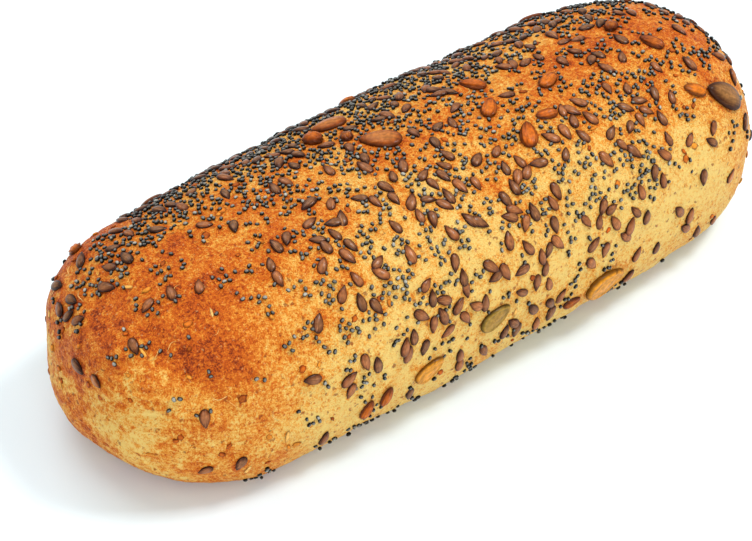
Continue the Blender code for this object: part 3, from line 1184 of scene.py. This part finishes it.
    def throw_flax(
        self, draw: random.Random, count: int, gap: float, lowest: float, clusters: bool = False
    ) -> None:
        """Throw flax evenly over the crust until there are that many.

        Args:
            draw: the seeded draw. The first throw's draws are those of the solid.
            count: how many there are to be in all.
            gap: how near two may lie.
            lowest: how low on the loaf they may lie.
            clusters: whether they gather in the crease and keep off the bare low side.
        """
        large = [
            (seed.middle, Vector(seed.place.col[0][:3]).length)
            for seed in self.pumpkin + self.kernels + self.grains
        ]
        while len(self.flax) < count:
            along, fullness = self.form.station(draw.uniform(*self.flax_share_of_arc))
            around = drawn(draw, self.flax_deg)
            turn = draw.triangular(0, math.pi, math.pi / 2) + draw.choice((0.0, math.pi))
            scale = draw.uniform(*self.flax_scale)
            tilt = math.radians(draw.uniform(-self.seed_tilt_deg, self.seed_tilt_deg))
            likely = self.flax_share(along, around)
            if clusters:
                likely = self.clustered(likely, along, around)
            if draw.random() > fullness * likely:
                continue
            seat = self.form.seat(along, around, turn)
            middle = seat.translation
            if middle.z < lowest:
                continue
            if any((middle - seed.middle).length < gap for seed in self.flax):
                continue
            if any((middle - other).length < reach + gap / 2 for other, reach in large):
                continue
            number = len(self.flax)
            shade = self.flax_shade
            shade -= self.darker_on_top * rise(math.degrees(around), *self.shade_deg)
            shade += noise.cell(Vector((number, *self.shade_cell))) * self.shade_spread
            shade = min(1.0, max(0.0, shade))
            self.flax.append(Seed(FLAX.lay(seat, scale, tilt), shade, number))

    def beside(self, point: Vector) -> float:
        """Return how far a point is from the nearest large seed: 1 is at its edge."""
        nearest = 9.0
        for _, number, _ in self.finder.find_n(point, 4):
            inside = self.inward[number] @ point
            nearest = min(nearest, math.hypot(inside.x, inside.y))
        return nearest

    def poppy_share(self, x_mm: float, around_deg: float) -> float:
        """Return how thickly poppy lies at a spot, against the crest of the ridge."""
        narrow, wider = self.crest_reach
        spread = narrow + wider * rise(x_mm, *self.crest_widens_mm)
        crest = self.crest_deg + self.crest_shift * x_mm
        ridge = bell(around_deg, crest, spread) * rise(x_mm, *self.crest_begins_mm)
        thick, less = self.crest_share
        ridge *= thick - less * rise(x_mm, *self.crest_thins_mm)
        thin, more = self.side_share
        side = thin + more * rise(x_mm, *self.side_begins_mm)
        for less, along_mm, low_deg in self.bare_sides:
            side *= 1 - less * rise(x_mm, *along_mm) * (1 - rise(around_deg, *low_deg))
        side *= 1 - self.back_less * rise(around_deg, *self.back_deg)
        side *= rise(x_mm, *self.bare_tip_mm)
        crease = bell(x_mm, *self.crease_mm) * bell(around_deg, *self.crease_deg)
        crease *= self.crease_share
        return max(ridge, side, crease)

    def throw_poppy(self, draw: random.Random) -> list[Seed]:
        """Throw poppy in strings and clumps, each seed clear of the others.

        Args:
            draw: the seeded draw.

        Returns:
            The poppy seeds. Their shape is 1 where poppy lies thickly, on the ridge and its
            flanks, and 0 elsewhere.
        """
        seeds: list[Seed] = []
        taken: dict[tuple[int, int, int], list[Vector]] = {}
        arc = self.form.length + self.form.width * 0.6
        round_about = self.form.width * 0.5
        while len(seeds) < self.poppies:
            share = draw.uniform(*self.poppy_share_of_arc)
            around = drawn(draw, self.poppy_deg)
            along, fullness = self.form.station(share)
            x_mm = along * self.form.length / 2 / MM
            thick = self.poppy_share(x_mm, math.degrees(around))
            if draw.random() > fullness * thick:
                continue
            clumps = self.thick_clumps if thick > self.thick_above else self.loose_clumps
            clump = draw.choice(clumps)
            spread = (self.clump_spread[0] + self.clump_spread[1] * clump) * MM
            for _ in range(clump):
                seed = self.poppy_at(draw, share, around, taken)
                if seed is not None:
                    seed.shape = int(thick > self.ridge_above)
                    seeds.append(seed)
                share += draw.gauss(0, spread) / arc
                around += draw.gauss(0, spread) / (round_about * max(0.3, fullness))
        return seeds

    def poppy_at(
        self, draw: random.Random, share: float, around: float,
        taken: dict[tuple[int, int, int], list[Vector]],
    ) -> Seed | None:
        """Return a poppy seed at a spot, or none where it has no room.

        Args:
            draw: the seeded draw.
            share: share of the arc from the -X tip.
            around: angle from the -Y side over the top, in radians.
            taken: the poppy laid so far, by the cell that it lies in.

        Returns:
            The seed or None.
        """
        if not self.tip_share < share < self.poppy_share_of_arc[1]:
            return None
        along, _ = self.form.station(share)
        seat = self.seat(along, around, 0.0)
        middle = seat.translation
        cell = tuple(math.floor(value / self.poppy_gap) for value in middle)
        around_cell = (
            other
            for x in (-1, 0, 1) for y in (-1, 0, 1) for z in (-1, 0, 1)
            for other in taken.get((cell[0] + x, cell[1] + y, cell[2] + z), ())
        )
        if middle.z < self.lowest_poppy:
            return None
        if any((middle - other).length < self.poppy_gap for other in around_cell):
            return None
        if self.beside(middle) < self.off_seeds:
            return None
        taken.setdefault(cell, []).append(middle)
        turned = Matrix.Rotation(draw.uniform(0, math.tau), 4, "Z")
        turned @= Matrix.Rotation(draw.uniform(*self.lean), 4, "X")
        sunk = Matrix.Translation((0.0, 0.0, draw.uniform(*self.sunk_mm) * MM))
        place = POPPY.lay(seat @ sunk @ turned, draw.uniform(*self.poppy_scale))
        shade = min(1.0, max(0.0, draw.gauss(*self.poppy_shade)))
        return Seed(place, shade, out=seat.to_3x3().col[2])


@dataclass(frozen=True)
class Crumbs:
    """Flakes, slivers and fibres baked into the crust between the seeds."""

    flakes: int = 150
    flake_draw: int = 17
    flake_shapes: int = 6
    flake_share_of_arc: Span = (0.03, 0.98)
    flake_deg: Span = (-25, 205)
    flake_lowest: float = 0.004
    off_seeds: float = 1.5
    # Lengths, widths and thickness in mm, but a chip's width is a share of its length
    sliver_share: float = 0.15
    sliver_length: Span = (2.4, 4.4)
    sliver_width: Span = (0.7, 1.1)
    sliver_shade: Span = (0.5, 0.9)
    chip_length: Span = (1.4, 3.0)
    chip_width: Span = (0.5, 0.8)
    chip_shade: Span = (0.1, 0.65)
    thickness: Span = (0.5, 0.9)
    lift: float = 0.12
    tilt: Span = (-0.12, 0.12)
    fibres: int = 64
    fibre_draw: int = 23
    fibre_bows: tuple[float, ...] = (0.2, 0.5, -0.35, 0.8)
    # The least, the most and the likeliest share of the arc
    fibre_share_of_arc: Place = (0.03, 0.95, 0.15)
    fibre_deg: Span = (-15, 150)
    fibre_half_mm: Span = (1.0, 2.4)
    fibre_flatness: float = 0.8
    fibre_shade: Span = (0.8, 1.0)

    def chips(self, bed: SeedBed, draw: random.Random) -> list[Seed]:
        """Return the flakes of grain: mostly toasted chips, some cream slivers."""
        made: list[Seed] = []
        while len(made) < self.flakes:
            along, _ = bed.form.station(draw.uniform(*self.flake_share_of_arc))
            around = drawn(draw, self.flake_deg)
            seat = bed.seat(along, around, draw.uniform(0, math.tau))
            middle = seat.translation
            if middle.z < self.flake_lowest or bed.beside(middle) < self.off_seeds:
                continue
            if draw.random() < self.sliver_share:
                length, shades = draw.uniform(*self.sliver_length), self.sliver_shade
                width = draw.uniform(*self.sliver_width)
            else:
                length, shades = draw.uniform(*self.chip_length), self.chip_shade
                width = length * draw.uniform(*self.chip_width)
            thickness = draw.uniform(*self.thickness)
            kind = Kind((length * MM, width * MM, thickness * MM), self.lift)
            shade, tilt = draw.uniform(*shades), draw.uniform(*self.tilt)
            made.append(Seed(kind.lay(seat, 1.0, tilt), shade, draw.randrange(self.flake_shapes)))
        return made

    def hairs(self, bed: SeedBed, draw: random.Random) -> list[Seed]:
        """Return the bran fibres, most of them towards the -X end."""
        made: list[Seed] = []
        while len(made) < self.fibres:
            along, _ = bed.form.station(draw.triangular(*self.fibre_share_of_arc))
            around = drawn(draw, self.fibre_deg)
            seat = bed.seat(along, around, draw.uniform(0, math.tau))
            half = draw.uniform(*self.fibre_half_mm) * MM
            size = Matrix.Diagonal((half, half, half * self.fibre_flatness, 1.0))
            shade = draw.uniform(*self.fibre_shade)
            made.append(Seed(seat @ size, shade, draw.randrange(len(self.fibre_bows))))
        return made


@dataclass(frozen=True)
class CrustShell:
    """The crust: a fine mesh on the loaf's form that stands for the solid."""

    form: LoafForm
    relief: CrustRelief
    browning: Browning
    stations: int = 310
    sides: int = 300
    # In seeds, where 1 is a seed's edge: where a ring lies and how far it reaches, for the painted
    # shade round each seed and for the raised rim
    painted_seed_shade: Span = (1.0, 0.32)
    rim: Span = (1.2, 0.3)
    rim_height: float = 0.00018
    base_below: float = 0.0005
    base_relief: float = 0.4
    # Painted shade in the dimples and along the crease, added to the browning there
    painted_dimple_shade: float = 0.35
    painted_crease_shade: float = 0.08

    def build(self, bed: SeedBed) -> bpy.types.Object:
        """Build the crust round the seeds.

        Args:
            bed: where the seeds lie.

        Returns:
            The piece, which rides on the loaf's body and stands for its node.
        """
        shell = bmesh.new()
        bmesh.ops.create_uvsphere(
            shell, u_segments=self.sides, v_segments=self.stations, radius=1.0
        )
        arounds = []
        for vertex in shell.verts:
            share = math.acos(max(-1.0, min(1.0, -vertex.co.z))) / math.pi
            around = math.atan2(vertex.co.y, vertex.co.x)
            arounds.append(around)
            vertex.co = self.form.point(*self.form.station(share), around)
        # The sphere's axes land on the loaf's as in a mirror, which turns its faces inwards
        bmesh.ops.reverse_faces(shell, faces=shell.faces)
        shell.normal_update()
        brown, painted_seed_shade = [], []
        for vertex, around in zip(shell.verts, arounds):
            point = vertex.co.copy()
            away = bed.beside(point)
            # Painted shade round each seed, full under it and fading past its edge
            painted_seed_shade.append(bell(away, *self.painted_seed_shade) if away > 1 else 1.0)
            height = self.relief.height(point) + self.rim_height * bell(away, *self.rim)
            if point.z < self.base_below:
                height = min(0.0, height) * self.base_relief
            vertex.co = point + vertex.normal * height
            vertex.co.z = max(0.0, vertex.co.z)
            # Painted shade: the crust is browned in its dimples and along the crease
            pit = self.painted_dimple_shade * self.relief.dimple(point)
            pit += self.painted_crease_shade * self.form.crease(point, around)
            brown.append(min(1.0, self.browning.at(point, around) + pit))
        mesh = bpy.data.meshes.new("crust")
        shell.to_mesh(mesh)
        shell.free()
        values = {"brown": brown, "painted_seed_shade": painted_seed_shade}
        piece = dressed(mesh, values, CrustFinish().material())
        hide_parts(NODE)
        return piece


@dataclass(frozen=True)
class Studio:
    """A pale floor, soft light and the photograph's camera."""

    # Azimuth and elevation seen from the loaf, in degrees
    camera_view: Span = (-38.81, 38.94)
    distance: float = 0.6661
    aim: Place = (-0.02115, -0.01091, 0.028)
    lens: float = 117.24
    floor_half: float = 4.0
    sky: float = 0.66
    # The view as for the camera, the distance, the size and the watts
    lamps: tuple[tuple[str, Span, float, float, float], ...] = (
        ("key", (62.0, 60.0), 1.6, 0.42, 13.5),
        ("fill", (-34.0, 26.0), 1.8, 1.2, 12.5),
        ("top", (175.0, 60.0), 1.7, 1.0, 9.5),
    )
    floor_colour: Colour = (0.82, 0.93, 0.98, 1.0)

    @staticmethod
    def hang(data: bpy.types.ID, view: Span, away: float, aim: Place) -> bpy.types.Object:
        """Put a lamp or camera in its place, turned to its aim.

        Args:
            data: the lamp or camera, with the object's name.
            view: the azimuth and elevation that it is seen at from its aim, in degrees.
            away: its distance.
            aim: the point that it is turned to.

        Returns:
            The object.
        """
        azimuth, elevation = (math.radians(angle) for angle in view)
        level = math.cos(elevation)
        towards = Vector(
            (math.sin(azimuth) * level, -math.cos(azimuth) * level, math.sin(elevation))
        )
        holder = shown(data.name, data)
        holder.location = Vector(aim) + towards * away
        holder.rotation_euler = towards.to_track_quat("Z", "Y").to_euler()
        return holder

    def floor(self) -> None:
        """Lay the floor."""
        sheet = bmesh.new()
        bmesh.ops.create_grid(sheet, x_segments=8, y_segments=8, size=self.floor_half)
        mesh = bpy.data.meshes.new("floor")
        sheet.to_mesh(mesh)
        sheet.free()
        board = NodeBoard("pale_floor")
        mesh.materials.append(
            board.finish(Base_Color=self.floor_colour, Roughness=0.9, Specular_IOR_Level=0.1)
        )
        shown("floor", mesh)

    def light(self) -> None:
        """Hang the lamps and light the sky."""
        world = bpy.data.worlds.new("studio")
        world.use_nodes = True
        backdrop = world.node_tree.nodes["Background"]
        backdrop.inputs["Color"].default_value = (1.0, 1.0, 1.0, 1.0)
        backdrop.inputs["Strength"].default_value = self.sky
        bpy.context.scene.world = world
        for name, view, away, size, watts in self.lamps:
            lamp = bpy.data.lights.new(name, "AREA")
            lamp.energy = watts
            lamp.size = size
            self.hang(lamp, view, away, (0.0, 0.0, 0.0))

    def camera(self) -> None:
        """Stand the camera where the photograph was taken from."""
        eye = bpy.data.cameras.new("camera")
        eye.lens = self.lens
        scene = bpy.context.scene
        scene.camera = self.hang(eye, self.camera_view, self.distance, self.aim)
        scene.view_settings.view_transform = "Standard"


def main() -> None:
    """Dress the loaf and set the studio round it."""
    logging.basicConfig(level=logging.INFO, format="%(message)s")
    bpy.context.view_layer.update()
    form, relief, browning = LoafForm(), CrustRelief(), Browning()
    studio = Studio()
    studio.camera()
    bed = SeedBed(form, relief)
    LOG.info("%d flax and %d poppy seeds laid", len(bed.flax), len(bed.poppy))
    crust = CrustShell(form, relief, browning).build(bed)
    LOG.info("%s: %d faces", crust.name, len(crust.data.polygons))
    flax = [SeedShapes.flax(0.10, 0.42), SeedShapes.flax(-0.14, 0.50), SeedShapes.flax(0.0, 0.34)]
    crumbs = Crumbs()
    chips = crumbs.chips(bed, random.Random(crumbs.flake_draw))
    hairs = crumbs.hairs(bed, random.Random(crumbs.fibre_draw))
    poppy_sides, poppy_ridge = (
        [seed for seed in bed.poppy if seed.shape == shape] for shape in (0, 1)
    )
    kinds = (
        ("poppy_sides", [SeedShapes.poppy()], Skin.POPPY, "poppy_seed", poppy_sides),
        ("poppy_ridge", [SeedShapes.poppy()], Skin.POPPY, "poppy_seed", poppy_ridge),
        ("flax_seeds", flax, Skin.FLAX, "flax_seed", bed.flax),
        ("pumpkin_seeds", [SeedShapes.pumpkin(0.0), SeedShapes.pumpkin(0.6)], Skin.PUMPKIN,
            "pumpkin_seed", bed.pumpkin),
        ("sunflower_kernels", [SeedShapes.kernel(7, 0.2), SeedShapes.kernel(9, 0.32)],
            Skin.KERNEL, "sunflower_kernel", bed.kernels),
        ("wheat_grains", [SeedShapes.grain()], Skin.KERNEL, "wheat_grain", bed.grains),
        ("grain_flakes", [SeedShapes.flake(draw) for draw in range(crumbs.flake_shapes)],
            Skin.FLAKE, "grain_flake", chips),
        ("bran_fibres", [SeedShapes.fibre(bow) for bow in crumbs.fibre_bows], Skin.FLAKE,
            "grain_flake", hairs),
    )
    for name, shapes, skin, slot, seeds in kinds:
        piece = JoinedSeeds(name, shapes, skin, slot).join(seeds)
        LOG.info("%s: %d pieces, %d faces", name, len(seeds), len(piece.data.polygons))
    studio.floor()
    studio.light()


if __name__ == "__main__":
    main()
